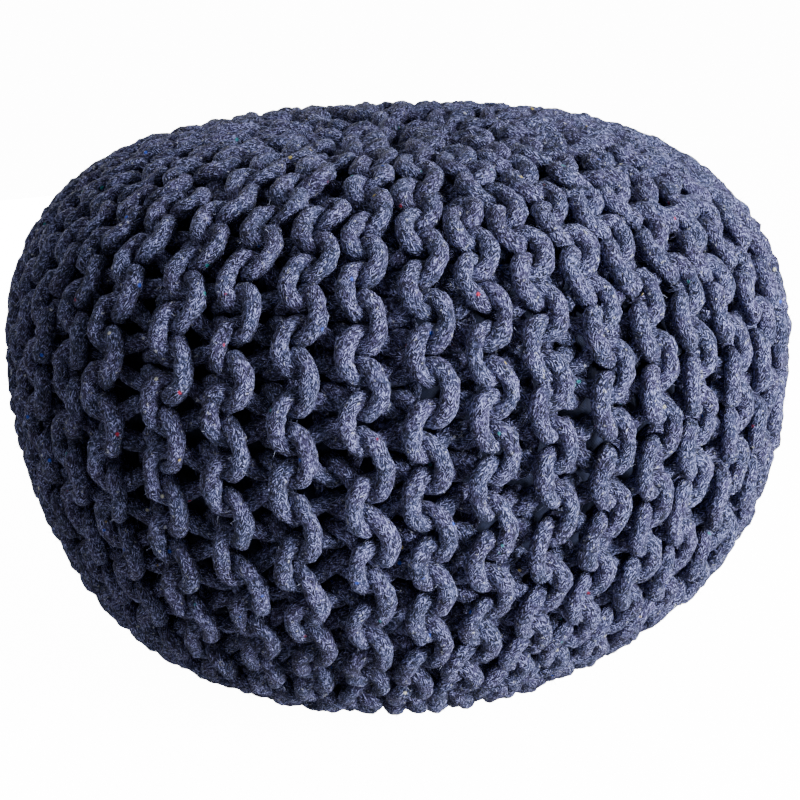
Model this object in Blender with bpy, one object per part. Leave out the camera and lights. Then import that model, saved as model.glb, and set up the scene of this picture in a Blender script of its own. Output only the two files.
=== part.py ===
"""Hand-knitted round pouf: a thick knitted cord cover drawn in over a filled cloth casing.

Metres, +Z up. The origin is on the surface that the pouf rests on, under the middle of its widest ring.
The front of the pouf faces -Y and its right side faces +X.
"""

import math

import bmesh
import bpy

# Driving sizes of the whole pouf
DIAMETER = 0.500            # across the widest ring, over the knitted ridges
HEIGHT = 0.355              # from the resting face to the top of the crown
WAIST_HEIGHT = 0.2189       # height of the widest ring
CONTACT_RADIUS = 0.107      # outer edge of the flat that it rests on

# How full the crown and the base are: exponents of the two superellipse arcs
CROWN_REACH, CROWN_RISE = 3.81, 2.055
BASE_REACH, BASE_DROP = 1.52, 2.528

# The knitted cover and the cord that it is knitted from
CORD_DIAMETER = 0.0100
COVER_THICKNESS = 0.0305    # front and back ridges of the garter stitch, pressed together
GATHER_RADIUS = 0.0278      # opening that is left where the rows are drawn together
GATHER_DIP = 0.003          # depth of the dimple around that opening, at the top
DIMPLE_RADIUS = 0.040
GAP = 0.0003                # clearance between neighbouring pieces

# Unevenness of the real thing
BASE_LEAN = -0.0084         # sideways shift of the foot, to the left
LEAN_TOP, LEAN_FOOT = 0.103, 0.040
CROWN_LEAN = -0.0017        # the same of the crown
CROWN_TILT = 0.0044         # the right half of the crown stands higher than the left
TILT_RADIUS = 0.085
LOBES = (                   # soft bulges around the waist
    # waves around, amplitude, phase in degrees
    (2, 0.0012, 70.0),
    (3, 0.0014, 75.0),
    (5, 0.0010, 140.0),
)

# Fineness of the faceted solids
TURN_STEPS = 48
CROWN_STEPS = 13
DIMPLE_CROWDING = 1.3
BASE_STEPS = 10
FLAT_STEPS = 2
CORD_TURN_STEPS = 24
CORD_SIDES = 8

NAVY_CORD = (0.060, 0.072, 0.135, 1.0)
NAVY_CLOTH = (0.075, 0.088, 0.155, 1.0)


def clear_scene():
    for leftover in list(bpy.data.objects):
        bpy.data.objects.remove(leftover, do_unlink=True)


def cloth_material(name, colour, roughness):
    material = bpy.data.materials.new(name)
    material.use_nodes = True
    shader = material.node_tree.nodes["Principled BSDF"]
    shader.inputs["Base Color"].default_value = colour
    shader.inputs["Roughness"].default_value = roughness
    shader.inputs["Metallic"].default_value = 0.0
    return material


def crown_point(angle):
    """Point (radius, height) of the outline above the waist, from 0 at the waist to 90 degrees on top."""
    radius = DIAMETER / 2 * math.cos(angle) ** (2 / CROWN_REACH)
    height = WAIST_HEIGHT + (HEIGHT - WAIST_HEIGHT) * math.sin(angle) ** (2 / CROWN_RISE)
    return radius, height


def base_point(angle):
    """Point (radius, height) of the outline below the waist, from 0 at the waist to 90 degrees at the foot."""
    reach = DIAMETER / 2 - CONTACT_RADIUS
    radius = CONTACT_RADIUS + reach * math.cos(angle) ** (2 / BASE_REACH)
    height = WAIST_HEIGHT * (1 - math.sin(angle) ** (2 / BASE_DROP))
    return radius, height


def crown_height(radius):
    """Height of the undimpled crown at a radius."""
    angle = math.acos(min(1.0, (2 * radius / DIAMETER) ** (CROWN_REACH / 2)))
    return crown_point(angle)[1]


def dimple(radius):
    return GATHER_DIP * math.exp(-((radius / DIMPLE_RADIUS) ** 2))


def cover_outline():
    """Outer outline of the cover, from the lip of the top gather to the lip of the bottom gather."""
    points = []
    for step in range(CROWN_STEPS):
        # the steps are shorter at the dimple and at the shoulder, where the outline turns fastest
        share = math.sin(step / CROWN_STEPS * math.pi / 2) ** DIMPLE_CROWDING
        radius = GATHER_RADIUS + (DIAMETER / 2 - GATHER_RADIUS) * share
        points.append((radius, crown_height(radius) - dimple(radius)))
    for step in range(BASE_STEPS + 1):
        points.append(base_point(step / BASE_STEPS * math.pi / 2))
    for step in range(1, FLAT_STEPS + 1):
        radius = CONTACT_RADIUS + (GATHER_RADIUS - CONTACT_RADIUS) * step / FLAT_STEPS
        points.append((radius, 0.0))
    return points


def drawn_in(outline, depth):
    """The outline moved inwards by a depth, at right angles to itself, its ends kept on their radius."""
    moved = []
    last = len(outline) - 1
    for index, (radius, height) in enumerate(outline):
        before = outline[max(0, index - 1)]
        after = outline[min(last, index + 1)]
        along_r, along_z = after[0] - before[0], after[1] - before[1]
        length = math.hypot(along_r, along_z)
        inward_r, inward_z = along_z / length, -along_r / length
        if index in (0, last):
            inward_r, inward_z = 0.0, -1.0 if index == 0 else 1.0
        moved.append((radius + inward_r * depth, height + inward_z * depth))
    return moved


def uneven(point):
    """Lean, crown tilt and soft lobes of the real pouf, laid over the turned shape."""
    x, y, z = point
    radius = math.hypot(x, y)
    turn = math.atan2(x, -y)
    fullness = math.sin(math.pi * min(1.0, max(0.0, z / HEIGHT)))
    swell = sum(
        size * math.cos(waves * (turn - math.radians(phase))) for waves, size, phase in LOBES
    )
    grow = 1 + swell * fullness / (DIAMETER / 2)
    drop = min(1.0, max(0.0, (LEAN_TOP - z) / (LEAN_TOP - LEAN_FOOT)))
    lean = BASE_LEAN * drop * drop * (3 - 2 * drop)
    tilt = 0.0
    if z > WAIST_HEIGHT:
        share = (z - WAIST_HEIGHT) / (HEIGHT - WAIST_HEIGHT)
        lean += CROWN_LEAN * share * share * (3 - 2 * share)
        tilt = CROWN_TILT * share * x / TILT_RADIUS * math.exp(0.5 * (1 - (radius / TILT_RADIUS) ** 2))
    return x * grow + lean, y * grow, z + tilt


def turned_solid(name, section, closed, material):
    """Turns a section of (radius, height) points once around the upright axis and lays the unevenness on it."""
    mesh = bmesh.new()
    corners = [mesh.verts.new((0.0, -radius, height)) for radius, height in section]
    edges = [mesh.edges.new(pair) for pair in zip(corners, corners[1:])]
    if closed:
        edges.append(mesh.edges.new((corners[-1], corners[0])))
    bmesh.ops.spin(
        mesh, geom=corners + edges, cent=(0, 0, 0), axis=(0, 0, 1), dvec=(0, 0, 0),
        angle=math.tau, steps=TURN_STEPS, use_merge=True, use_duplicate=False,
    )
    bmesh.ops.remove_doubles(mesh, verts=mesh.verts, dist=1e-6)
    for vert in mesh.verts:
        vert.co = uneven(vert.co)
    bmesh.ops.recalc_face_normals(mesh, faces=mesh.faces)
    return add_object(name, mesh, material)


def add_object(name, mesh, material):
    data = bpy.data.meshes.new(name)
    mesh.to_mesh(data)
    mesh.free()
    data.materials.append(material)
    data.shade_smooth()
    thing = bpy.data.objects.new(name, data)
    bpy.context.scene.collection.objects.link(thing)
    return thing


def knitted_cover(material):
    outside = cover_outline()
    inside = drawn_in(outside, COVER_THICKNESS)
    return turned_solid("knitted_cover", outside + inside[::-1], True, material)


def inner_casing(material):
    """The filled cloth bag under the knitting: it follows the cover's inner face, a gap away."""
    outline = drawn_in(cover_outline(), COVER_THICKNESS + GAP)
    (_, top), (_, foot) = outline[0], outline[-1]
    section = [(0.0, top)] + outline + [(0.0, foot)]
    return turned_solid("inner_casing", section, False, material)


def gather_cord(name, height, material):
    """A closed ring of the knitting cord, pulled tight through the end loops of the rows."""
    ring_radius = GATHER_RADIUS - GAP - CORD_DIAMETER / 2
    centre_x, _, centre_z = uneven((0.0, 0.0, height))
    mesh = bmesh.new()
    circle = bmesh.ops.create_circle(mesh, segments=CORD_SIDES, radius=CORD_DIAMETER / 2)
    for vert in circle["verts"]:
        vert.co = (centre_x, -ring_radius + vert.co.x, centre_z + vert.co.y)
    bmesh.ops.spin(
        mesh, geom=mesh.verts[:] + mesh.edges[:], cent=(centre_x, 0, 0), axis=(0, 0, 1), dvec=(0, 0, 0),
        angle=math.tau, steps=CORD_TURN_STEPS, use_merge=True, use_duplicate=False,
    )
    bmesh.ops.remove_doubles(mesh, verts=mesh.verts, dist=1e-6)
    bmesh.ops.recalc_face_normals(mesh, faces=mesh.faces)
    return add_object(name, mesh, material)


def build_pouf():
    clear_scene()
    cord = cloth_material("navy_cord", NAVY_CORD, 0.92)
    cloth = cloth_material("navy_casing_cloth", NAVY_CLOTH, 0.85)
    knitted_cover(cord)
    inner_casing(cloth)
    top_lip = crown_height(GATHER_RADIUS) - dimple(GATHER_RADIUS)
    gather_cord("top_gather_cord", top_lip - COVER_THICKNESS / 2, cord)
    gather_cord("bottom_gather_cord", COVER_THICKNESS / 2, cord)


build_pouf()
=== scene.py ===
import math

import bmesh
import bpy
import numpy as np
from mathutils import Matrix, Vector


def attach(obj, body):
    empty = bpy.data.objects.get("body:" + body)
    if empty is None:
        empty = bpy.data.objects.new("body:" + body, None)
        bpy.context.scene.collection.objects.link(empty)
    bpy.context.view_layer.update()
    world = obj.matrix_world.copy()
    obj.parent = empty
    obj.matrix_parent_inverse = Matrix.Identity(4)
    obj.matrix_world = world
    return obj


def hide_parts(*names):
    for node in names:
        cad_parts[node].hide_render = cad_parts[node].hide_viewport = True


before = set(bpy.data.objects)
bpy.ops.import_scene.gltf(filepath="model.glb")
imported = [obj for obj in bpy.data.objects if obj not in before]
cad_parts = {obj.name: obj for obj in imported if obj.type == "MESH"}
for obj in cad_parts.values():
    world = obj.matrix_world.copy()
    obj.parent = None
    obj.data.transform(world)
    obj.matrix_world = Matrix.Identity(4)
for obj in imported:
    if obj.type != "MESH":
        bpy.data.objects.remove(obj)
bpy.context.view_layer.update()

# ----------------------------------------------
# Sizes, in metres. The outline repeats the cover's own driving sizes.
# ----------------------------------------------
DIAMETER, HEIGHT = 0.500, 0.355
WAIST_HEIGHT = 0.2189
CONTACT_RADIUS = 0.107
CROWN_REACH, CROWN_RISE = 3.81, 2.055
BASE_REACH, BASE_DROP = 1.52, 2.528
GATHER_RADIUS, GATHER_DIP, DIMPLE_RADIUS = 0.0278, 0.003, 0.040
BASE_LEAN, LEAN_TOP, LEAN_FOOT = -0.0084, 0.103, 0.040
CROWN_TILT, TILT_RADIUS, CROWN_LEAN = 0.0044, 0.085, -0.0017
LOBES = ((2, 0.0012, 70.0), (3, 0.0014, 75.0), (5, 0.0010, 140.0))  # waves around, size, phase

CORD = 0.0100               # diameter of the knitting cord
COVER_THICKNESS = 0.0305
GAP = 0.0003
GATHER_CORD_RADIUS = GATHER_RADIUS - GAP - CORD / 2

# The knitting: garter stitch worked sideways, with short rows
STITCHES = 18               # in a full row, from the top gather to the bottom one
WEDGES = 7
SHORT_ROWS = (              # stitches left out of each row of a wedge
    # at the top, at the bottom
    (0, 0), (2, 0), (2, 2), (4, 2), (4, 4), (1, 4),
    (1, 1), (2, 1), (2, 2), (4, 2), (4, 4), (0, 4),
)
ROWS = WEDGES * len(SHORT_ROWS)
STITCH_RUNS = (             # where a stitch lies, in metres along the outline from the first one
    # stitch, run
    (0, 0.000),
    (4, 0.129),
    (8, 0.281),
    (12, 0.4445),
    (18, 0.659),
)
FIRST_STITCH = 0.0293       # from the middle of the top to the first stitch
RIDGE_HALF_LOOSE, RIDGE_HALF = 0.0078, 0.0075   # reach of a ridge's arcs, loose and tight
LOOP_WAIST_LOOSE, LOOP_WAIST = 0.16, 0.0        # how much a loop widens at its head, in stitches
FRONT_RIDGE = 4.35          # turn of the ridge just right of the middle of the front, in degrees
RIDGE_SHIFTS = (            # how far the ridges stand off their even places, in degrees
    # turn, shift
    (-100, 0.0), (-75, -1.5), (-57, -2.4), (-40, -2.8), (-30, -0.4), (-17, 0.7), (-4, 0.4),
    (6, 0.0), (13, -1.4), (30, -2.4), (45, -3.8), (62, -4.0), (76, -2.0), (100, 0.0),
)

# Unevenness of hand knitting
DRIFT, DRIFT_SEED = 0.05, 1                     # of a stitch along its row, in stitches
SWAY, SWAY_SEED = math.radians(0.45), 2         # of a ridge, sideways
SWELL, SWELL_SEED = 0.08, 3                     # of a loop's reach, as a share


# ----------------------------------------------
# The pouf's surface
# ----------------------------------------------
def resample(values, run, even_run):
    return np.stack([np.interp(even_run, run, column) for column in values.T], axis=1)


def run_along(points):
    return np.r_[0.0, np.cumsum(np.linalg.norm(np.diff(points, axis=0), axis=1))]


def outline_table(samples=640, softening=80, arc_points=3000, foot_points=400):
    """Outline of the cover from axis to axis: radius, height and outward normal at even steps."""
    crown_r = np.linspace(0, DIAMETER / 2, arc_points, endpoint=False)
    angle = np.arccos((2 * crown_r / DIAMETER) ** (CROWN_REACH / 2))
    crown_z = WAIST_HEIGHT + (HEIGHT - WAIST_HEIGHT) * np.sin(angle) ** (2 / CROWN_RISE)
    crown_z -= GATHER_DIP * np.exp(-((crown_r / DIMPLE_RADIUS) ** 2))
    angle = np.linspace(0, math.pi / 2, arc_points)
    reach = DIAMETER / 2 - CONTACT_RADIUS
    base_r = CONTACT_RADIUS + reach * np.abs(np.cos(angle)) ** (2 / BASE_REACH)
    base_z = WAIST_HEIGHT * (1 - np.sin(angle) ** (2 / BASE_DROP))
    foot_r = np.linspace(CONTACT_RADIUS, 0, foot_points)[1:]
    points = np.c_[np.r_[crown_r, base_r, foot_r], np.r_[crown_z, base_z, 0 * foot_r]]
    run = run_along(points)
    points = resample(points, run, np.linspace(0, run[-1], samples))
    for _ in range(softening):
        points[1:-1] = 0.5 * points[1:-1] + 0.25 * (points[2:] + points[:-2])
    along = np.gradient(points, axis=0)
    along /= np.linalg.norm(along, axis=1)[:, None]
    return points, np.c_[-along[:, 1], along[:, 0]], run[-1]


OUTLINE, OUTLINE_NORMAL, OUTLINE_LENGTH = outline_table()
OUTLINE_RUN = np.linspace(0, OUTLINE_LENGTH, len(OUTLINE))
STEP_OUT = 0.001            # a small step off the surface, which gives the outward direction
CROWN_POINTS = 200          # the outline's first points, over which its radius only grows
LIP_HEIGHT = np.interp(GATHER_RADIUS, *OUTLINE[:CROWN_POINTS].T)


def uneven(points):
    """Lean, crown tilt and soft lobes of the pouf, as on the cover."""
    x, y, z = points.T
    radius = np.hypot(x, y)
    turn = np.arctan2(x, -y)
    fullness = np.sin(math.pi * np.clip(z / HEIGHT, 0, 1))
    swell = sum(size * np.cos(waves * (turn - math.radians(phase))) for waves, size, phase in LOBES)
    grow = 1 + swell * fullness / (DIAMETER / 2)
    drop = np.clip((LEAN_TOP - z) / (LEAN_TOP - LEAN_FOOT), 0, 1)
    lean = BASE_LEAN * drop * drop * (3 - 2 * drop)
    share = np.clip((z - WAIST_HEIGHT) / (HEIGHT - WAIST_HEIGHT), 0, 1)
    lean = lean + CROWN_LEAN * share * share * (3 - 2 * share)
    tilt = CROWN_TILT * share * x / TILT_RADIUS * np.exp(0.5 * (1 - (radius / TILT_RADIUS) ** 2))
    return np.c_[x * grow + lean, y * grow, z + tilt]


def on_pouf(run, turn, depth):
    """Points at a run (metres along the outline), a turn (radians) and a depth under it."""
    radius, height = resample(OUTLINE, OUTLINE_RUN, run).T
    out_r, out_z = resample(OUTLINE_NORMAL, OUTLINE_RUN, run).T
    radius = radius - out_r * depth
    height = height - out_z * depth
    return uneven(np.c_[radius * np.sin(turn), -radius * np.cos(turn), height])


STITCH_CURVE = np.polyfit(*zip(*STITCH_RUNS), len(STITCH_RUNS) - 1)


def run_of(stitch):
    """Metres along the outline to a stitch, on a smooth curve through the measured runs."""
    return FIRST_STITCH + np.polyval(STITCH_CURVE, stitch)


def waves(seed, turn, share, count=16, around=40, down=9.0):
    """A smooth random field over the pouf, as a sum of slanting waves, with a spread of 1."""
    draw = np.random.default_rng(seed)
    whole_waves = draw.integers(1, around, count)
    along_waves = draw.uniform(-down, down, count)
    phases = draw.uniform(0, math.tau, count)
    total = sum(
        np.sin(a * turn + math.tau * b * share + c)
        for a, b, c in zip(whole_waves, along_waves, phases)
    )
    return total / math.sqrt(count / 2)


# ----------------------------------------------
# The path of the knitting cord
# ----------------------------------------------
GRID_PER_STITCH = 10
POINTS_PER_STITCH = 24
ROW_FADE = 1.3              # stitches over which a short row's width runs out
ROW_END = 0.2               # where the turn at a row's end takes over, in stitches
ROW_TURN = 0.09             # how far past its last stitch a short row turns, in stitches
LOOP_DEPTH = (COVER_THICKNESS - CORD) / 2
REACH_DEPTH = COVER_THICKNESS / 2 * 0.6     # depth at which a ridge's reach is measured
GATHER_SWING = 105          # degrees that a row swings each way around a gather cord
GATHER_POINTS = 13          # of the cord on its way round
GATHER_SPREAD = 0.25        # how far it spreads there, as a share of the room between two rows


def ridge_lines():
    """Turn of the line between each two neighbouring rows, at a grid of stitch numbers.

    Where a short row has ended, it has no width, so its neighbours close up.
    """
    stitch = np.arange(0, STITCHES * GRID_PER_STITCH + 1) / GRID_PER_STITCH
    widths = []
    for row in range(ROWS):
        at_top, at_foot = SHORT_ROWS[row % len(SHORT_ROWS)]
        width = np.ones_like(stitch)
        ends = (at_top, stitch - at_top), (at_foot, STITCHES - at_foot - stitch)
        for missing, distance in ends:
            if missing:
                share = np.clip(distance / ROW_FADE + 0.5, 0, 1)
                width *= share * share * (3 - 2 * share)
        widths.append(width)
    lines = np.vstack([np.zeros_like(stitch), np.cumsum(widths, axis=0)])
    lines *= math.tau / lines[-1]
    middle = STITCHES // 2 * GRID_PER_STITCH
    return lines + math.radians(FRONT_RIDGE) - lines[1, middle]


def look_up(lines, line, stitch):
    """Turn of a ridge line at stitch numbers."""
    # 1.001, since the last point of the grid has none after it to mix with
    place = np.clip(stitch * GRID_PER_STITCH, 0, lines.shape[1] - 1.001)
    low = place.astype(int)
    share = place - low
    return lines[line, low] * (1 - share) + lines[line, low + 1] * share


def ridge_shift(turn):
    """Shift of the ridges at a turn. The hidden back keeps that of the measured front's ends."""
    degrees = np.degrees((turn + math.pi) % math.tau - math.pi)
    return np.radians(np.interp(degrees, *zip(*RIDGE_SHIFTS)))


def row_path(lines, row, ridge_half, loop_waist):
    """One row, down or up in turn: stitch number, turn, and height in the cover from -1 to 1."""
    at_top, at_foot = SHORT_ROWS[row % len(SHORT_ROWS)]
    count = STITCHES - at_top - at_foot
    steps = round((count - 2 * ROW_END) * POINTS_PER_STITCH)
    phase = np.linspace(at_top + ROW_END, at_top + count - ROW_END, steps + 1)
    around = math.tau * phase
    stitch = phase + loop_waist * np.sin(2 * around)
    before = look_up(lines, row, stitch)
    after = look_up(lines, row + 1, stitch)
    radius = np.interp(run_of(stitch), OUTLINE_RUN, OUTLINE[:, 0])
    reach = ridge_half / (radius - REACH_DEPTH)
    reach *= 1 + SWELL * waves(SWELL_SEED, before, stitch / STITCHES)
    swing = (1 - np.cos(around)) / 2
    turn = (before - reach) * (1 - swing) + (after + reach) * swing
    side = 1 if row % 2 == 0 else -1
    lift = -side * np.cos(around)
    path = np.c_[stitch, turn, lift]
    return path if row % 2 == 0 else path[::-1]


def laid_on_pouf(path):
    """Cord points of a path: place, outward direction and depth under the outer surface."""
    stitch, turn, lift = path.T
    share = stitch / STITCHES
    stitch = stitch + DRIFT * waves(DRIFT_SEED, turn, share)
    turn = turn + ridge_shift(turn) + SWAY * waves(SWAY_SEED, turn, share)
    depth = COVER_THICKNESS / 2 - lift * (LOOP_DEPTH + SQUEEZE_START)
    run = run_of(stitch)
    points = on_pouf(run, turn, depth)
    outward = on_pouf(run, turn, depth - STEP_OUT) - points
    return np.c_[points, outward / np.linalg.norm(outward, axis=1)[:, None], depth]


def gather_turn(turn, spread, top):
    """The turn of a row around a gather cord, from one face of the cover through the opening."""
    swing = np.radians(np.linspace(GATHER_SWING, -GATHER_SWING, GATHER_POINTS))
    out = 1 if top else -1
    face = swing if top else -swing
    middle = LIP_HEIGHT - COVER_THICKNESS / 2 if top else COVER_THICKNESS / 2
    radius = GATHER_CORD_RADIUS - CORD * np.cos(face)
    height = middle + out * CORD * np.sin(face)
    turn = turn - spread * np.sin(swing)
    points = uneven(np.c_[radius * np.sin(turn), -radius * np.cos(turn), height])
    outward = np.zeros_like(points)
    outward[:, 2] = out
    return np.c_[points, outward, COVER_THICKNESS / 2 - CORD * np.sin(face)]


def cord_path(ridge_half, loop_waist):
    """The whole cord, row after row and wedge after wedge, as a closed loop of points."""
    lines = ridge_lines()
    rows = [row_path(lines, row, ridge_half, loop_waist) for row in range(ROWS)]
    parts, starts = [], []
    for row, path in enumerate(rows):
        following = rows[(row + 1) % ROWS]
        to_top = row % 2 == 1
        at_top, at_foot = SHORT_ROWS[row % len(SHORT_ROWS)]
        if row % len(SHORT_ROWS) == 0:
            starts.append(sum(len(part) for part in parts))
        parts.append(laid_on_pouf(path))
        ends = path[-1, 1], following[0, 1] + (math.tau if row == ROWS - 1 else 0)
        missing = at_top if to_top else at_foot
        if missing:
            edge = at_top - ROW_TURN if to_top else STITCHES - at_foot + ROW_TURN
            middle = look_up(lines, row + 1, np.array([edge]))
            parts.append(laid_on_pouf(np.array([[edge, middle[0], 0.0]])))
        else:
            parts.append(gather_turn(sum(ends) / 2, (ends[1] - ends[0]) * GATHER_SPREAD, to_top))
    return np.vstack(parts), starts


# ----------------------------------------------
# Settling the cord: loops pull tight on each other, and cords that touch push each other apart
# ----------------------------------------------
SETTLE_ROUNDS = 500
TIGHTEN_ROUNDS = 0.7 * SETTLE_ROUNDS
PAIR_ROUNDS = 12            # from one search for cords that lie near each other to the next
PAIR_REACH = 1.45 * CORD
POINT_SPACING = 0.0071      # between the points of the cord before it is pulled tight
SLACK = 0.86                # length that the pull aims at, as a share of the first length
SQUEEZE_START = 0.004       # how much deeper the loops reach at the start, so that they link
TOUCH_EASE = 0.6            # how far the pushes of several touching cords are shared out
LENGTH_PULL = 0.25          # share of a stretch's wrong length that a round takes out of each end
BEND_PULL, BEND_EVEN = 0.04, 0.25
ANCHOR = 0.028              # share of the way back to its own place that a point takes in a round


def close_pairs(points, reach):
    """Pairs of points nearer than reach, by sorting them into cubic cells."""
    cell = np.floor((points - points.min(axis=0)) / reach).astype(np.int64) + 1
    size = cell.max(axis=0) + 2
    key = (cell[:, 0] * size[1] + cell[:, 1]) * size[2] + cell[:, 2]
    order = np.argsort(key, kind="stable")
    ordered = key[order]
    firsts, seconds = [], []
    steps = [(a, b, c) for a in (-1, 0, 1) for b in (-1, 0, 1) for c in (-1, 0, 1)]
    for a, b, c in steps:
        shift = (a * size[1] + b) * size[2] + c
        if shift < 0:
            continue
        low = np.searchsorted(ordered, ordered + shift, side="left")
        high = np.searchsorted(ordered, ordered + shift, side="right")
        if shift == 0:
            low = np.arange(len(order)) + 1
        count = np.maximum(high - low, 0)
        first = np.repeat(np.arange(len(order)), count)
        second = np.arange(count.sum()) + np.repeat(low - np.cumsum(count) + count, count)
        firsts.append(order[first])
        seconds.append(order[second])
    first, second = np.concatenate(firsts), np.concatenate(seconds)
    near = ((points[first] - points[second]) ** 2).sum(axis=1) < reach * reach
    return first[near], second[near]


def gathered(values, index, count):
    """Sums of the vectors that share an index."""
    sums = [np.bincount(index, weights=column, minlength=count) for column in values.T]
    return np.stack(sums, axis=1)


def off_gather_cord(points, centre):
    """Moves points that touch a gather cord straight away from its middle line."""
    flat = points[:, :2] - centre[:2]
    radius = np.linalg.norm(flat, axis=1)
    aside, above = radius - GATHER_CORD_RADIUS, points[:, 2] - centre[2]
    distance = np.hypot(aside, above) + 1e-9
    push = np.clip(CORD - distance, 0, None) / distance
    points[:, :2] += flat * (push * aside / radius)[:, None]
    points[:, 2] += push * above


def gather_cord_centres():
    heights = LIP_HEIGHT - COVER_THICKNESS / 2, COVER_THICKNESS / 2
    return [uneven(np.array([[0.0, 0.0, height]]))[0] for height in heights]


def settle(loose, tight, outward, depth):
    """Relaxes the closed cord from its loose to its tight places and returns its points."""
    count = len(loose)
    points = loose
    spacing = np.linalg.norm(np.roll(points, -1, axis=0) - points, axis=1).mean()
    skip = int(round(2 * CORD / spacing))
    centres = gather_cord_centres()
    for turn in range(SETTLE_ROUNDS):
        share = min(1.0, turn / TIGHTEN_ROUNDS)
        rest = spacing * (1 + (SLACK - 1) * share)
        home = loose + (tight - loose) * share
        squeeze = SQUEEZE_START * (1 - share)
        shallowest, deepest = CORD / 2 - squeeze, COVER_THICKNESS - CORD / 2 + squeeze
        if turn % PAIR_ROUNDS == 0:
            first, second = close_pairs(points, PAIR_REACH)
            apart = np.abs(first - second)
            apart = np.minimum(apart, count - apart)
            first, second = first[apart > skip], second[apart > skip]
            offsets = (np.linalg.norm(points - centre, axis=1) for centre in centres)
            near_gather = [np.flatnonzero(offset < 2 * GATHER_RADIUS) for offset in offsets]
        gap = points[second] - points[first]
        distance = np.sqrt((gap * gap).sum(axis=1)) + 1e-9
        push = CORD - distance
        hit = push > 0
        a, b = first[hit], second[hit]
        move = gap[hit] * (0.5 * push[hit] / distance[hit])[:, None]
        touches = np.bincount(a, minlength=count) + np.bincount(b, minlength=count)
        shift = gathered(move, b, count) - gathered(move, a, count)
        points = points + shift / np.maximum(1, touches * TOUCH_EASE)[:, None]

        ahead = np.roll(points, -1, axis=0) - points
        length = np.sqrt((ahead * ahead).sum(axis=1))
        pull = ahead * (LENGTH_PULL * (length - rest) / length)[:, None]
        points = points + pull - np.roll(pull, 1, axis=0)

        bend = 0.5 * (np.roll(points, 1, axis=0) + np.roll(points, -1, axis=0)) - points
        evened = bend - 0.5 * (np.roll(bend, 1, axis=0) + np.roll(bend, -1, axis=0))
        points = points + BEND_PULL * bend + BEND_EVEN * evened + ANCHOR * (home - points)

        under = depth - ((points - home) * outward).sum(axis=1)
        over = np.clip(shallowest - under, 0, None) - np.clip(under - deepest, 0, None)
        points = points - outward * over[:, None]
        for near, centre in zip(near_gather, centres):
            moved = points[near]
            off_gather_cord(moved, centre)
            points[near] = moved
        points[:, 2] = np.maximum(points[:, 2], CORD / 2)
    return points


def knitted_cord():
    """Points of the settled cord, about evenly spaced, and the index at which each wedge starts."""
    loose, starts = cord_path(RIDGE_HALF_LOOSE, LOOP_WAIST_LOOSE)
    tight = cord_path(RIDGE_HALF, LOOP_WAIST)[0]
    along = run_along(np.vstack([loose, loose[:1]])[:, :3])
    count = int(round(along[-1] / POINT_SPACING))
    even = np.arange(count) * along[-1] / count
    loose, tight = (resample(np.vstack([path, path[:1]]), along, even) for path in (loose, tight))
    outward = tight[:, 3:6] / np.linalg.norm(tight[:, 3:6], axis=1)[:, None]
    cuts = [int(round(along[start] / along[-1] * count)) for start in starts]
    return settle(loose[:, :3], tight[:, :3], outward, tight[:, 6]), cuts


# ----------------------------------------------
# Round cords as meshes, with a map of metres along the cord and the share around it
# ----------------------------------------------
SIDES = 12
CORD_MAP = "cord_map"
LUMPS = 0.115               # unevenness of the cord's skin, as a share of its radius
LUMP_SOFTENING = (          # how the lumps are spread
    # axis (0 along, 1 around), weight of each neighbour
    (1, 0.30),
    (1, 0.16),
    (0, 0.14),
)
THICK_AND_THIN = 0.035      # how much its thickness varies along its length, as a share
THICK_SOFTENING = 8         # rounds that spread it along the cord
RING_POINTS = 64            # around a gather cord's ring


def mesh_of(shape, name):
    """The mesh of a finished bmesh."""
    mesh = bpy.data.meshes.new(name)
    shape.to_mesh(mesh)
    shape.free()
    return mesh


def piece_of(mesh, name):
    piece = bpy.data.objects.new(name, mesh)
    bpy.context.scene.collection.objects.link(piece)
    return piece


def whole_numbers(items, field):
    """A whole number of each of a mesh's corners or faces."""
    values = np.empty(len(items), dtype=np.int64)
    items.foreach_get(field, values)
    return values


def places_of(mesh):
    places = np.empty(len(mesh.vertices) * 3)
    mesh.vertices.foreach_get("co", places)
    return places.reshape(-1, 3)


def unrolled(mesh, place, whole):
    """Places of a loop's corners, a whole turn further on where their face runs past its end."""
    starts = whole_numbers(mesh.polygons, "loop_start")
    face_of = np.repeat(np.arange(len(starts)), np.diff(np.r_[starts, len(place)]))
    highest = np.maximum.reduceat(place, starts)[face_of]
    return np.where(highest - place > whole // 2, place + whole, place)


def smooth_between(points):
    """Twice as many points, on a smooth curve through the given ones."""
    before, after = points[:-3], points[3:]
    middle = 9 / 16 * (points[1:-2] + points[2:-1]) - (before + after) / 16
    doubled = np.empty((2 * len(middle) + 1, 3))
    doubled[0::2] = points[1:-1]
    doubled[1::2] = middle
    return doubled


def mesh_of_curve(name, points, closed, radius):
    curve = bpy.data.curves.new(name, "CURVE")
    curve.dimensions = "3D"
    curve.bevel_depth = radius
    curve.bevel_resolution = SIDES // 2 - 2
    curve.twist_mode = "MINIMUM"
    spline = curve.splines.new("POLY")
    spline.points.add(len(points) - 1)
    spline.points.foreach_set("co", np.c_[points, np.ones(len(points))].ravel())
    spline.use_cyclic_u = closed
    maker = bpy.data.objects.new(name, curve)
    bpy.context.scene.collection.objects.link(maker)
    evaluated = maker.evaluated_get(bpy.context.evaluated_depsgraph_get())
    mesh = bpy.data.meshes.new_from_object(evaluated)
    bpy.data.objects.remove(maker)
    bpy.data.curves.remove(curve)
    mesh.uv_layers.remove(mesh.uv_layers[0])
    if not closed:
        shape = bmesh.new()
        shape.from_mesh(mesh)
        bmesh.ops.holes_fill(shape, edges=[edge for edge in shape.edges if edge.is_boundary])
        shape.to_mesh(mesh)
        shape.free()
    return mesh


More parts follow.
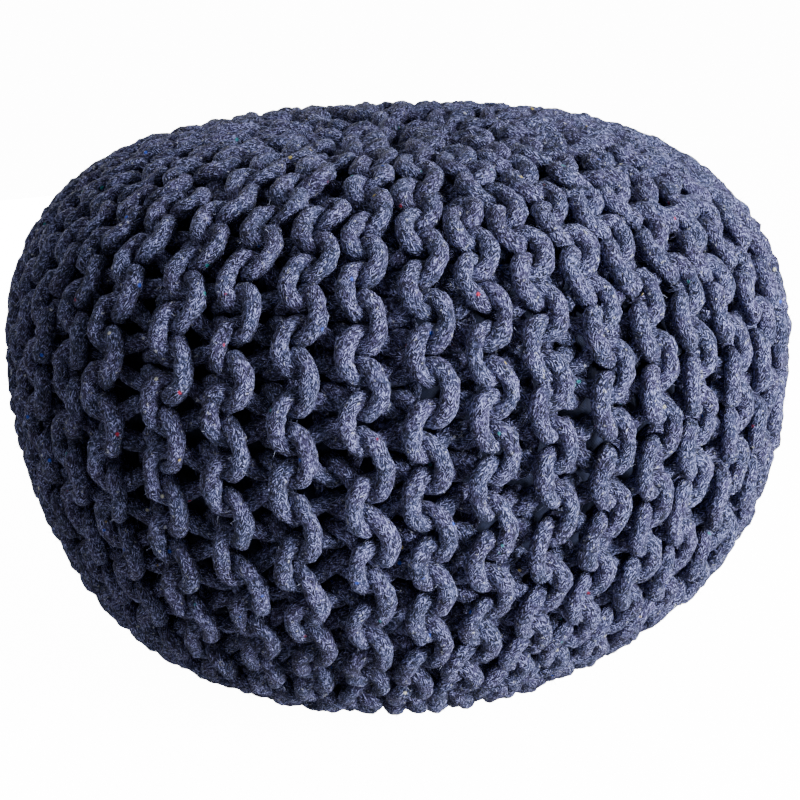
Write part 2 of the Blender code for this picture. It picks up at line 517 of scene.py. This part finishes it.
def map_cord(mesh, points, start):
    """Lays the cord's own map: metres along it in U and the share around it in V."""
    along = start + run_along(np.vstack([points, points[:1]]))
    corner_verts = whole_numbers(mesh.loops, "vertex_index")
    ring = unrolled(mesh, corner_verts // SIDES, len(points))
    side = unrolled(mesh, corner_verts % SIDES, SIDES)
    cord_map = mesh.uv_layers.new(name=CORD_MAP)
    cord_map.data.foreach_set("uv", np.c_[along[ring], side / SIDES].ravel())


def lumpy(mesh, points, seed):
    """Makes the cord's skin a little uneven, thicker here and thinner there."""
    draw = np.random.default_rng(seed)
    rough = draw.normal(size=(len(points), SIDES))
    for axis, weight in LUMP_SOFTENING:
        beside = np.roll(rough, 1, axis) + np.roll(rough, -1, axis)
        rough = (1 - 2 * weight) * rough + weight * beside
    rough *= LUMPS / rough.std()
    thick = draw.normal(size=len(points))
    for _ in range(THICK_SOFTENING):
        thick = 0.5 * thick + 0.25 * (np.roll(thick, 1) + np.roll(thick, -1))
    rough += (THICK_AND_THIN / thick.std() * thick)[:, None]
    places = places_of(mesh).reshape(len(points), SIDES, 3)
    places = points[:, None] + (places - points[:, None]) * (1 + rough[:, :, None])
    places[:, :, 2] = np.maximum(places[:, :, 2], 0.0)
    mesh.vertices.foreach_set("co", places.ravel())


def cord_tube(name, points, start=0.0, closed=False):
    mesh = mesh_of_curve(name, points, closed, CORD / 2)
    lumpy(mesh, points, len(points))
    mesh.name = name
    mesh.shade_smooth()
    map_cord(mesh, points, start)
    return piece_of(mesh, name)


def knit_pieces(points, cuts):
    """The knitted cord as one tube for each wedge."""
    made = []
    start = 0.0
    for number, (cut, end) in enumerate(zip(cuts, cuts[1:] + [len(points)]), 1):
        stretch = smooth_between(points[np.arange(cut - 1, end + 2) % len(points)])
        made.append(cord_tube(f"knit_wedge_{number}", stretch, start))
        start += run_along(stretch)[-1]
    return made


def gather_ring(name, centre):
    """The cord that draws the end loops together, as a closed ring."""
    turn = np.arange(RING_POINTS) / RING_POINTS * math.tau
    ring = np.c_[np.sin(turn), -np.cos(turn), 0 * turn] * GATHER_CORD_RADIUS + centre
    return cord_tube(name, ring, closed=True)


# ----------------------------------------------
# Stray fibres that stand off the cord, each a slim closed spike
# ----------------------------------------------
FIBRES, FIBRES_AT_ONCE, FIBRE_SEED = 14000, 100, 12
FIBRE_LENGTHS = 0.0016, 0.0048
FIBRE_WIDTH = 0.00030
FIBRE_ROOT = 0.0004         # how far a fibre's root lies under the cord's skin
FIBRE_SHIFT = 0.004         # how far a root may lie from its point of the cord, along the cord
ROOT_SCATTER = 0.75         # how far the roots stray from the cord's outer side
LEAN_SCATTER = 0.8          # how far the fibres lean away from straight up
LEAST_STAND = 0.15          # cosine of the greatest lean, past which a fibre stands straight up
FLOOR_ROOM = 0.001          # between a fibre and the floor


def fibre_spots(points, draw):
    """Roots and directions of the fibres: on the outer side of the cords, leaning every way."""
    index = draw.integers(0, len(points), FIBRES)
    along = np.roll(points, -1, axis=0)[index] - np.roll(points, 1, axis=0)[index]
    along /= np.linalg.norm(along, axis=1)[:, None]
    middle = np.array([0.0, 0.0, WAIST_HEIGHT])
    outward = (points[index] - middle) / np.array([DIAMETER, DIAMETER, HEIGHT]) ** 2
    leaning = outward / np.linalg.norm(outward, axis=1)[:, None]
    leaning = leaning + ROOT_SCATTER * draw.normal(size=(FIBRES, 3))
    leaning -= (leaning * along).sum(axis=1)[:, None] * along
    leaning /= np.linalg.norm(leaning, axis=1)[:, None]
    shift = draw.uniform(-FIBRE_SHIFT, FIBRE_SHIFT, (FIBRES, 1))
    roots = points[index] + leaning * (CORD / 2 - FIBRE_ROOT) + along * shift
    ways = leaning + LEAN_SCATTER * draw.normal(size=(FIBRES, 3))
    ways /= np.linalg.norm(ways, axis=1)[:, None]
    too_low = (ways * leaning).sum(axis=1) < LEAST_STAND
    ways[too_low] = leaning[too_low]
    return roots, ways


def spikes(roots, ways, lengths):
    """A mesh of a few fibres. Few are quick to make, as each cone goes over the whole bmesh."""
    shape = bmesh.new()
    for root, way, length in zip(roots, ways, lengths):
        stand = Vector(way).to_track_quat("Z", "Y").to_matrix().to_4x4()
        stand.translation = Vector(root + way * length / 2)
        bmesh.ops.create_cone(
            shape, cap_ends=True, segments=3, radius1=FIBRE_WIDTH / 2, radius2=0, depth=length,
            matrix=stand,
        )
    return mesh_of(shape, "spikes")


def stray_fibres(points):
    """All the fibres as one piece."""
    draw = np.random.default_rng(FIBRE_SEED)
    roots, ways = fibre_spots(points, draw)
    lengths = draw.uniform(*FIBRE_LENGTHS, FIBRES)
    above = roots[:, 2] + np.minimum(ways[:, 2], 0) * lengths > FLOOR_ROOM
    roots, ways, lengths = roots[above], ways[above], lengths[above]
    shape = bmesh.new()
    for start in range(0, len(roots), FIBRES_AT_ONCE):
        few = slice(start, start + FIBRES_AT_ONCE)
        part = spikes(roots[few], ways[few], lengths[few])
        shape.from_mesh(part)
        bpy.data.meshes.remove(part)
    return piece_of(mesh_of(shape, "stray_fibres"), "stray_fibres")


# ----------------------------------------------
# The filled bag, which swells between the cords until they hold it back
# ----------------------------------------------
BAG_TURNS, BAG_RINGS = 280, 120
BAG_POLE = 0.004            # from its top or bottom point to the nearest ring, along the outline
BAG_SWELL = 0.0235          # depth under the surface to which it would swell with no cord on it
BAG_REST = COVER_THICKNESS - 0.003      # depth from which the cords' hold on it is measured
BAG_PRESSURE = 0.0008       # how far the filling pushes the cloth out in a round
BAG_ROUNDS = 60
CORD_SHADOW = 0.0145        # how near a spot of the bag a cord's point lies that may press it
BAG_MAP = "cloth_map"


def cord_hold(spots, outward, cord_points):
    """How deep the cords press the bag at each of its spots, which lie at the depth BAG_REST."""
    spot_count = len(spots)
    first, second = close_pairs(np.vstack([spots, cord_points]), CORD_SHADOW)
    low, high = np.minimum(first, second), np.maximum(first, second)
    mixed = (low < spot_count) & (high >= spot_count)
    spot, cord = low[mixed], high[mixed] - spot_count
    offset = cord_points[cord] - spots[spot]
    above = (offset * outward[spot]).sum(axis=1)
    aside = (offset ** 2).sum(axis=1) - above ** 2
    press = CORD / 2 + GAP
    under = aside < press * press
    depth = BAG_REST - above[under] + np.sqrt(press * press - aside[under])
    held = np.full(spot_count, BAG_SWELL)
    np.maximum.at(held, spot[under], depth)
    return held


def swollen_depths(run, turn, cord_points):
    """Depth of the bag's cloth on a grid of runs and turns, taut where no cord presses it."""
    runs, turns = (grid.ravel() for grid in np.meshgrid(run, turn, indexing="ij"))
    rest = np.full(len(runs), BAG_REST)
    spots = on_pouf(runs, turns, rest)
    outward = on_pouf(runs, turns, rest - STEP_OUT) - spots
    outward /= np.linalg.norm(outward, axis=1)[:, None]
    held = cord_hold(spots, outward, cord_points).reshape(len(run), len(turn))
    depth = held.copy()
    for _ in range(BAG_ROUNDS):
        beside = 0.5 * (np.roll(depth, 1, axis=1) + np.roll(depth, -1, axis=1))
        above = np.vstack([depth[:1], depth[:-1]])
        below = np.vstack([depth[1:], depth[-1:]])
        depth = np.maximum(held, 0.5 * beside + 0.25 * (above + below) - BAG_PRESSURE)
    return np.minimum(depth, COVER_THICKNESS + GAP * 2)


def spun_bag(section):
    """The bag's skin before it swells: its section turned around, closed by a point at each end."""
    shape = bmesh.new()
    corners = [shape.verts.new((0.0, -radius, height)) for radius, height in section]
    poles = [shape.verts.new((0.0, 0.0, section[end][1])) for end in (0, -1)]
    chain = [poles[0]] + corners + [poles[1]]
    edges = [shape.edges.new(pair) for pair in zip(chain, chain[1:])]
    bmesh.ops.spin(
        shape, geom=chain + edges, cent=(0, 0, 0), axis=(0, 0, 1), dvec=(0, 0, 0),
        angle=math.tau, steps=BAG_TURNS, use_merge=True, use_duplicate=False,
    )
    bmesh.ops.remove_doubles(shape, verts=shape.verts, dist=1e-6)
    bmesh.ops.recalc_face_normals(shape, faces=shape.faces)
    return mesh_of(shape, "casing_bag")


def nearest_ring(section, radius, height):
    across = section[None, :, 0] - radius[:, None]
    down = section[None, :, 1] - height[:, None]
    return (across ** 2 + down ** 2).argmin(axis=1)


def casing_bag(cord_points):
    """The bag as one piece, with a map in metres around it and down it."""
    run = np.linspace(BAG_POLE, OUTLINE_LENGTH - BAG_POLE, BAG_RINGS)
    turn = np.arange(BAG_TURNS) / BAG_TURNS * math.tau
    depths = swollen_depths(run, turn, cord_points)
    section = resample(OUTLINE, OUTLINE_RUN, run)
    mesh = spun_bag(section)
    x, y, height = places_of(mesh).T
    radius = np.hypot(x, y)
    ring = nearest_ring(section, radius, height)
    around = np.arctan2(x, -y) % math.tau
    column = np.round(around / math.tau * BAG_TURNS).astype(int) % BAG_TURNS
    depth = depths[ring, column]
    at_pole = radius < 1e-6
    depth[at_pole] = COVER_THICKNESS
    pole_run = np.where(height > WAIST_HEIGHT, 0.0, OUTLINE_LENGTH)
    runs = np.where(at_pole, pole_run, run[ring])
    mesh.vertices.foreach_set("co", on_pouf(runs, turn[column], depth).ravel())
    mesh.shade_smooth()
    corner_verts = whole_numbers(mesh.loops, "vertex_index")
    side = unrolled(mesh, column[corner_verts], BAG_TURNS)
    cloth_map = mesh.uv_layers.new(name=BAG_MAP)
    metres_around = side / BAG_TURNS * math.pi * DIAMETER
    cloth_map.data.foreach_set("uv", np.c_[metres_around, runs[corner_verts]].ravel())
    mesh.update()
    return piece_of(mesh, "casing_bag")


# ----------------------------------------------
# Materials
# ----------------------------------------------
class Board:
    """Adds nodes to a tree. An input is a number, a colour or another node's output."""

    def __init__(self, tree):
        self.tree = tree

    def feed(self, socket, value):
        if isinstance(value, bpy.types.NodeSocket):
            self.tree.links.new(value, socket)
        else:
            socket.default_value = value

    def add(self, kind, inputs=None, **settings):
        made = self.tree.nodes.new(kind)
        for key, value in settings.items():
            setattr(made, key, value)
        for key, value in (inputs or {}).items():
            self.feed(made.inputs[key], value)
        return made

    def calc(self, operation, *values):
        made = self.add("ShaderNodeMath", operation=operation)
        for socket, value in zip(made.inputs, values):
            self.feed(socket, value)
        return made.outputs[0]

    def vector(self, x, y, z):
        return self.add("ShaderNodeCombineXYZ", {"X": x, "Y": y, "Z": z}).outputs[0]

    def noise(self, vector, scale, detail, roughness):
        inputs = {"Vector": vector, "Scale": scale, "Detail": detail, "Roughness": roughness}
        return self.add("ShaderNodeTexNoise", inputs).outputs["Fac"]

    def band(self, value, low, high):
        """0 below low, 1 above high and smooth between."""
        inputs = {"Value": value, "From Min": low, "From Max": high}
        return self.add("ShaderNodeMapRange", inputs, interpolation_type="SMOOTHSTEP").outputs[0]

    def bump(self, height, strength, distance):
        inputs = {"Strength": strength, "Distance": distance, "Height": height}
        return self.add("ShaderNodeBump", inputs).outputs["Normal"]

    def mix(self, share, first, second):
        made = self.add("ShaderNodeMix", data_type="RGBA")
        self.feed(made.inputs["Factor"], share)
        self.feed(made.inputs["A"], first)
        self.feed(made.inputs["B"], second)
        return made.outputs["Result"]


def new_group(name, inputs, outputs):
    """An empty node group with named inputs (name, value) and outputs (name, socket type)."""
    group = bpy.data.node_groups.new(name, "ShaderNodeTree")
    for label, value in inputs:
        socket = group.interface.new_socket(label, in_out="INPUT", socket_type="NodeSocketFloat")
        socket.default_value = value
    for label, kind in outputs:
        group.interface.new_socket(label, in_out="OUTPUT", socket_type=kind)
    board = Board(group)
    return group, board, board.add("NodeGroupInput").outputs, board.add("NodeGroupOutput").inputs


# The cord's strands and fibres. A noise is its scale, detail and roughness. A relief is the weight
# of a part in the height of the cord's skin, and a tone its weight in how light the skin is.
COLUMNS = 8.0               # of strands, around the cord
STRAND_PITCH = 0.0023       # metres between strands
SLANT, WOBBLE = 1.25, 1.0
COLUMN_SHIFT = 0.37         # of the strands against the next column's, in strands
WANDER_NOISE, WANDER_ASIDE, WANDER_ALONG = (240.0, 2.0, 0.5), 0.5, 3.0
CLEAR_NOISE, CLEAR_BAND = (280.0, 2.0, 0.6), (0.36, 0.60)   # where the strands show clearly
CLEAR_LEAST = 0.2           # how much of them shows elsewhere
PLUMP_POWER = 0.5           # how soon a strand rises from the edges of its column
PLUMP_LEAST = 0.4           # how much of it shows at those edges
PIT_NOISE, PIT_RELIEF = (460.0, 3.0, 0.6), 2.8
FUZZ_NOISE, FUZZ_RELIEF, FUZZ_TONE = (1600.0, 3.0, 0.7), 0.35, 0.45
FIBRE_NOISE, FIBRE_RELIEF, FIBRE_TONE = (1.0, 3.0, 0.65), 0.7, 0.55
FIBRE_GRAIN = 2.6, 1.3, 5.1     # grains along, across and from column to column


def strand_group():
    """A soft knitted cord: columns of slanting strands in chevrons, and the fibres along them."""
    group, board, given, out = new_group(
        "cord_strands",
        (
            ("Columns", COLUMNS), ("Strand Pitch", STRAND_PITCH),
            ("Slant", SLANT), ("Wobble", WOBBLE),
        ),
        (
            ("Height", "NodeSocketFloat"), ("Strand", "NodeSocketFloat"),
            ("Fibre", "NodeSocketFloat"), ("Pit", "NodeSocketFloat"),
        ),
    )
    cord_map = board.add("ShaderNodeUVMap", uv_map=CORD_MAP).outputs["UV"]
    parts = board.add("ShaderNodeSeparateXYZ", {"Vector": cord_map}).outputs
    along, around = parts["X"], parts["Y"]
    place = board.add("ShaderNodeTexCoord").outputs["Object"]
    wander = board.calc("SUBTRACT", board.noise(place, *WANDER_NOISE), 0.5)
    aside = board.calc("MULTIPLY", wander, WANDER_ASIDE)
    columns = board.calc("MULTIPLY_ADD", around, given["Columns"], aside)
    column = board.calc("FLOOR", columns)
    off_middle = board.calc("ABSOLUTE", board.calc("SUBTRACT", board.calc("FRACT", columns), 0.5))
    fold = board.calc("MULTIPLY", off_middle, 2.0)
    step = board.calc("DIVIDE", along, given["Strand Pitch"])
    slanted = board.calc("MULTIPLY_ADD", fold, given["Slant"], step)
    shifted = board.calc("MULTIPLY_ADD", column, COLUMN_SHIFT, slanted)
    wobble = board.calc("MULTIPLY", given["Wobble"], WANDER_ALONG)
    phase = board.calc("MULTIPLY_ADD", wander, wobble, shifted)
    wave = board.calc("COSINE", board.calc("MULTIPLY", phase, math.tau))
    clear = board.band(board.noise(place, *CLEAR_NOISE), *CLEAR_BAND)
    clear = board.calc("MULTIPLY_ADD", clear, 1 - CLEAR_LEAST, CLEAR_LEAST)
    strand = board.calc("MULTIPLY_ADD", board.calc("MULTIPLY", wave, clear), -0.5, 0.5)
    across = board.calc("SINE", board.calc("MULTIPLY", fold, math.pi))
    plump = board.calc("POWER", across, PLUMP_POWER)
    plump = board.calc("MULTIPLY_ADD", plump, 1 - PLUMP_LEAST, PLUMP_LEAST)
    relief = board.calc("MULTIPLY", strand, plump)
    stretches = zip((phase, fold, column), FIBRE_GRAIN)
    grain = board.vector(*(board.calc("MULTIPLY", value, scale) for value, scale in stretches))
    fibre = board.noise(grain, *FIBRE_NOISE)
    fuzz = board.noise(place, *FUZZ_NOISE)
    pit = board.noise(place, *PIT_NOISE)
    height = board.calc("MULTIPLY_ADD", fibre, FIBRE_RELIEF, relief)
    height = board.calc("MULTIPLY_ADD", pit, PIT_RELIEF, height)
    board.feed(out["Height"], board.calc("MULTIPLY_ADD", fuzz, FUZZ_RELIEF, height))
    # the strand relief, which the cord's colour also uses as painted shade in the grooves and
    # painted light on the crests
    board.feed(out["Strand"], relief)
    board.feed(out["Pit"], pit)
    fine = board.calc("MULTIPLY", fibre, FIBRE_TONE)
    board.feed(out["Fibre"], board.calc("MULTIPLY_ADD", fuzz, FUZZ_TONE, fine))
    return group


# Stray fibres of other colours spun into the yarn
PALE_SCALE, PALE_BAND = 340.0, (0.640, 0.72)
PALE_GRAIN = 3.0, 0.6       # detail and roughness of their noise
BRIGHT_SCALE, BRIGHT_SHARE = 78.0, 0.42
BRIGHT_SIZE = 0.055, 0.12   # where a bright fleck starts to fade and where it ends, in its cell
BRIGHT_COLOURS = (
    # share of the flecks from which it starts, colour
    (0.00, (0.03, 0.09, 0.62)),
    (0.34, (0.03, 0.30, 0.36)),
    (0.55, (0.62, 0.62, 0.55)),
    (0.74, (0.42, 0.02, 0.06)),
    (0.88, (0.62, 0.50, 0.12)),
)


def fleck_group():
    """Flecks of other colours: many pale ones and a few bright ones."""
    group, board, given, out = new_group(
        "stray_flecks",
        (
            ("Pale Scale", PALE_SCALE), ("Bright Scale", BRIGHT_SCALE),
            ("Bright Share", BRIGHT_SHARE),
        ),
        (
            ("Pale", "NodeSocketFloat"), ("Bright", "NodeSocketFloat"),
            ("Bright Colour", "NodeSocketColor"),
        ),
    )
    place = board.add("ShaderNodeTexCoord").outputs["Object"]
    speck = board.noise(place, given["Pale Scale"], *PALE_GRAIN)
    board.feed(out["Pale"], board.band(speck, *PALE_BAND))
    inputs = {"Vector": place, "Scale": given["Bright Scale"]}
    cells = board.add("ShaderNodeTexVoronoi", inputs).outputs
    chosen = board.add("ShaderNodeSeparateColor", {"Color": cells["Color"]}).outputs
    near = board.calc("SUBTRACT", 1.0, board.band(cells["Distance"], *BRIGHT_SIZE))
    picked = board.calc("LESS_THAN", chosen["Red"], given["Bright Share"])
    board.feed(out["Bright"], board.calc("MULTIPLY", near, picked))
    ramp = board.add("ShaderNodeValToRGB", {"Fac": chosen["Green"]})
    ramp.color_ramp.interpolation = "CONSTANT"
    stops = ramp.color_ramp.elements
    for index, (position, colour) in enumerate(BRIGHT_COLOURS):
        stop = stops[index] if index < 2 else stops.new(position)
        stop.position = position
        stop.color = (*colour, 1)
    board.feed(out["Bright Colour"], ramp.outputs["Color"])
    return group


THREAD_PITCH = 0.0009       # metres between the threads of the bag's cloth
SLUB_NOISE, SLUB_BAND = (180.0, 4.0, 0.6), (0.3, 0.7)


def weave_group():
    """Plain weave on a cloth map in metres."""
    group, board, given, out = new_group(
        "plain_weave",
        (("Thread Pitch", THREAD_PITCH),),
        (("Height", "NodeSocketFloat"), ("Slub", "NodeSocketFloat")),
    )
    cloth_map = board.add("ShaderNodeUVMap", uv_map=BAG_MAP).outputs["UV"]
    parts = board.add("ShaderNodeSeparateXYZ", {"Vector": cloth_map}).outputs
    threads = (board.calc("DIVIDE", parts[axis], given["Thread Pitch"]) for axis in "XY")
    warp, weft = (board.calc("SINE", board.calc("MULTIPLY", thread, math.pi)) for thread in threads)
    board.feed(out["Height"], board.calc("MULTIPLY", warp, weft))
    place = board.add("ShaderNodeTexCoord").outputs["Object"]
    board.feed(out["Slub"], board.noise(place, *SLUB_NOISE))
    return group


# darkest fibres, and with the strand's weight also the painted shade in the grooves between strands
NAVY_DARK = (0.005, 0.006, 0.018, 1)
NAVY_VIOLET = (0.050, 0.042, 0.118, 1)
NAVY_TEAL = (0.036, 0.046, 0.116, 1)
# lightest fibres, and with the strand's weight also the painted light on the strands' crests
NAVY_LIGHT = (0.345, 0.370, 0.745, 1)
PALE_FLECK = (0.55, 0.57, 0.66, 1)
PALE_FIBRE = (0.30, 0.32, 0.46, 1)
CLOTH_COLOUR = (0.006, 0.008, 0.021, 1)
CLOTH_PALE = (0.020, 0.026, 0.060, 1)

# How light the cord is: weights of its parts, and the sums over which it turns navy, then pale. The
# strand's weight is painted shade and light: darker grooves between strands, lighter crests
STRAND_SHADE_WEIGHT, FIBRE_WEIGHT, BATCH_WEIGHT, PIT_WEIGHT = 0.46, 1.3, 0.25, 1.2
NAVY_TONES, LIGHT_TONES = (1.29, 1.67), (1.56, 1.94)
BATCH_NOISE = 26.0, 3.0, 0.55
HUE_NOISE, HUE_BAND = (75.0, 2.0, 0.5), (0.35, 0.65)
STRAY_NOISE, STRAY_BAND = (300.0, 2.0, 0.5), (0.38, 0.62)
PALE_SHARE = 0.8            # how much of a pale fleck covers the navy
CORD_BUMP, CLOTH_BUMP = (1.0, 0.0011), (0.5, 0.0002)    # strength, distance


def new_material(name):
    material = bpy.data.materials.new(name)
    material.use_nodes = True
    return material, Board(material.node_tree), material.node_tree.nodes["Principled BSDF"].inputs


def cord_material(strands, flecks):
    material, board, shader = new_material("navy_cord")
    strand = board.add("ShaderNodeGroup", node_tree=strands).outputs
    fleck = board.add("ShaderNodeGroup", node_tree=flecks).outputs
    place = board.add("ShaderNodeTexCoord").outputs["Object"]
    tone = board.calc("MULTIPLY", strand["Fibre"], FIBRE_WEIGHT)
    # painted shade and light: the strand relief darkens the grooves between strands and lightens
    # their crests, on top of the yarn's own light and dark fibres
    tone = board.calc("MULTIPLY_ADD", strand["Strand"], STRAND_SHADE_WEIGHT, tone)
    tone = board.calc("MULTIPLY_ADD", board.noise(place, *BATCH_NOISE), BATCH_WEIGHT, tone)
    tone = board.calc("MULTIPLY_ADD", strand["Pit"], PIT_WEIGHT, tone)
    hue = board.band(board.noise(place, *HUE_NOISE), *HUE_BAND)
    hue = board.mix(hue, NAVY_VIOLET, NAVY_TEAL)
    lower = board.mix(board.band(tone, *NAVY_TONES), NAVY_DARK, hue)
    upper = board.mix(board.band(tone, *LIGHT_TONES), lower, NAVY_LIGHT)
    specked = board.mix(board.calc("MULTIPLY", fleck["Pale"], PALE_SHARE), upper, PALE_FLECK)
    board.feed(shader["Base Color"], board.mix(fleck["Bright"], specked, fleck["Bright Colour"]))
    board.feed(shader["Normal"], board.bump(strand["Height"], *CORD_BUMP))
    shader["Roughness"].default_value = 0.88
    shader["Specular IOR Level"].default_value = 0.25
    shader["Sheen Weight"].default_value = 0.06
    shader["Sheen Roughness"].default_value = 0.45
    shader["Sheen Tint"].default_value = (0.72, 0.78, 1.0, 1)
    return material


def fibre_material():
    material, board, shader = new_material("navy_fibre")
    place = board.add("ShaderNodeTexCoord").outputs["Object"]
    tone = board.band(board.noise(place, *STRAY_NOISE), *STRAY_BAND)
    board.feed(shader["Base Color"], board.mix(tone, NAVY_TEAL, PALE_FIBRE))
    shader["Roughness"].default_value = 0.9
    shader["Specular IOR Level"].default_value = 0.25
    return material


def casing_material(weave):
    material, board, shader = new_material("navy_casing_cloth")
    cloth = board.add("ShaderNodeGroup", node_tree=weave).outputs
    slub = board.band(cloth["Slub"], *SLUB_BAND)
    board.feed(shader["Base Color"], board.mix(slub, CLOTH_COLOUR, CLOTH_PALE))
    board.feed(shader["Normal"], board.bump(cloth["Height"], *CLOTH_BUMP))
    shader["Roughness"].default_value = 0.8
    shader["Specular IOR Level"].default_value = 0.2
    return material


# ----------------------------------------------
# The pouf
# ----------------------------------------------
def dress(piece, material, node):
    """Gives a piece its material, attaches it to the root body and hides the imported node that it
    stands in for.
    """
    piece.data.materials.clear()
    piece.data.materials.append(material)
    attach(piece, "root")
    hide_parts(node)


def build_pouf():
    cord = cord_material(strand_group(), fleck_group())
    cloth = casing_material(weave_group())
    points, cuts = knitted_cord()
    for piece in knit_pieces(points, cuts):
        dress(piece, cord, "knitted_cover")
    dress(stray_fibres(points), fibre_material(), "knitted_cover")
    for end, centre in zip(("top", "bottom"), gather_cord_centres()):
        dress(gather_ring(f"{end}_gather_ring", centre), cord, f"{end}_gather_cord")
    bag = casing_bag(points)
    dress(bag, cloth, "inner_casing")


# ----------------------------------------------
# Floor, light and camera
# ----------------------------------------------
FLOOR_SIZE = 12.0           # from its middle to its edge
CAMERA_DISTANCE = 1.0       # from the middle of the widest ring
CAMERA_RISE = math.radians(15.64)
CAMERA_FOCAL, IMAGE_WIDTH = 1510, 800   # in pixels
AIM = 0.002, 0.0, 0.1674    # the point that the camera looks at
SENSOR = 36.0               # in millimetres
WORLD_STRENGTH = 0.125
BACKDROP_STRENGTH = 14.0    # of the floor and the world behind the pouf, as the camera sees them
WHITE = (1, 1, 1, 1)
FLOOR_WHITE = (0.92, 0.92, 0.92, 1)
FLOOR_BOUNCE = (0.50, 0.50, 0.50, 1)
LIGHTS = (
    # name, turn and rise in degrees, distance, size, power
    ("key", 51.0, 15.0, 1.7, 0.8, 84.0),
    ("top_fill", -60.0, 60.0, 1.5, 1.0, 7.0),
    ("back_fill", -150.0, 14.0, 1.6, 1.4, 32.0),
)


def seen_or_lit(board, seen, lit):
    """One shader for what the camera sees, and another for the light that reaches the pouf."""
    ray = board.add("ShaderNodeLightPath").outputs["Is Camera Ray"]
    inputs = {0: ray, 1: lit.outputs[0], 2: seen.outputs[0]}
    return board.add("ShaderNodeMixShader", inputs).outputs[0]


def floor_material():
    """Nearly white to look at, but throws less light up at the pouf than a white floor would."""
    material, board, shader = new_material("pale_floor")
    shader["Base Color"].default_value = FLOOR_WHITE
    shader["Roughness"].default_value = 0.95
    shader["Emission Color"].default_value = WHITE
    shader["Emission Strength"].default_value = BACKDROP_STRENGTH
    seen = material.node_tree.nodes["Principled BSDF"]
    bounced = board.add("ShaderNodeBsdfDiffuse", {"Color": FLOOR_BOUNCE})
    both = seen_or_lit(board, seen, bounced)
    board.feed(material.node_tree.nodes["Material Output"].inputs["Surface"], both)
    return material


def pale_floor():
    shape = bmesh.new()
    bmesh.ops.create_grid(shape, x_segments=1, y_segments=1, size=FLOOR_SIZE)
    floor = piece_of(mesh_of(shape, "floor"), "floor")
    floor.data.materials.append(floor_material())


def studio_light(name, turn, rise, distance, size, power):
    """A broad soft round light that shines at the middle of the pouf."""
    light = bpy.data.lights.new(name, "AREA")
    light.shape = "DISK"
    light.size = size
    light.energy = power
    holder = bpy.data.objects.new(name, light)
    turn, rise = math.radians(turn), math.radians(rise)
    flat = math.cos(rise)
    toward = Vector((flat * math.sin(turn), -flat * math.cos(turn), math.sin(rise)))
    holder.location = Vector((0, 0, HEIGHT / 2)) + toward * distance
    holder.rotation_mode = "QUATERNION"
    holder.rotation_quaternion = (-toward).to_track_quat("-Z", "Y")
    bpy.context.scene.collection.objects.link(holder)


def studio_world():
    """A dim even glow, behind which the camera sees the same near-white as the floor."""
    world = bpy.data.worlds.new("studio")
    world.use_nodes = True
    board = Board(world.node_tree)
    glow = world.node_tree.nodes["Background"]
    glow.inputs["Color"].default_value = WHITE
    glow.inputs["Strength"].default_value = WORLD_STRENGTH
    seen = board.add("ShaderNodeBackground", {"Color": WHITE, "Strength": BACKDROP_STRENGTH})
    both = seen_or_lit(board, seen, glow)
    board.feed(world.node_tree.nodes["World Output"].inputs["Surface"], both)
    bpy.context.scene.world = world


def set_stage():
    pale_floor()
    studio_world()
    for name, *settings in LIGHTS:
        studio_light(name, *settings)


def set_camera():
    data = bpy.data.cameras.new("camera")
    data.sensor_width = SENSOR
    data.lens = CAMERA_FOCAL / IMAGE_WIDTH * SENSOR
    camera = bpy.data.objects.new("camera", data)
    bpy.context.scene.collection.objects.link(camera)
    flat, rise = CAMERA_DISTANCE * math.cos(CAMERA_RISE), CAMERA_DISTANCE * math.sin(CAMERA_RISE)
    camera.location = (0, -flat, WAIST_HEIGHT + rise)
    camera.rotation_mode = "QUATERNION"
    camera.rotation_quaternion = (Vector(AIM) - camera.location).to_track_quat("-Z", "Y")
    bpy.context.scene.camera = camera


build_pouf()
set_stage()
set_camera()
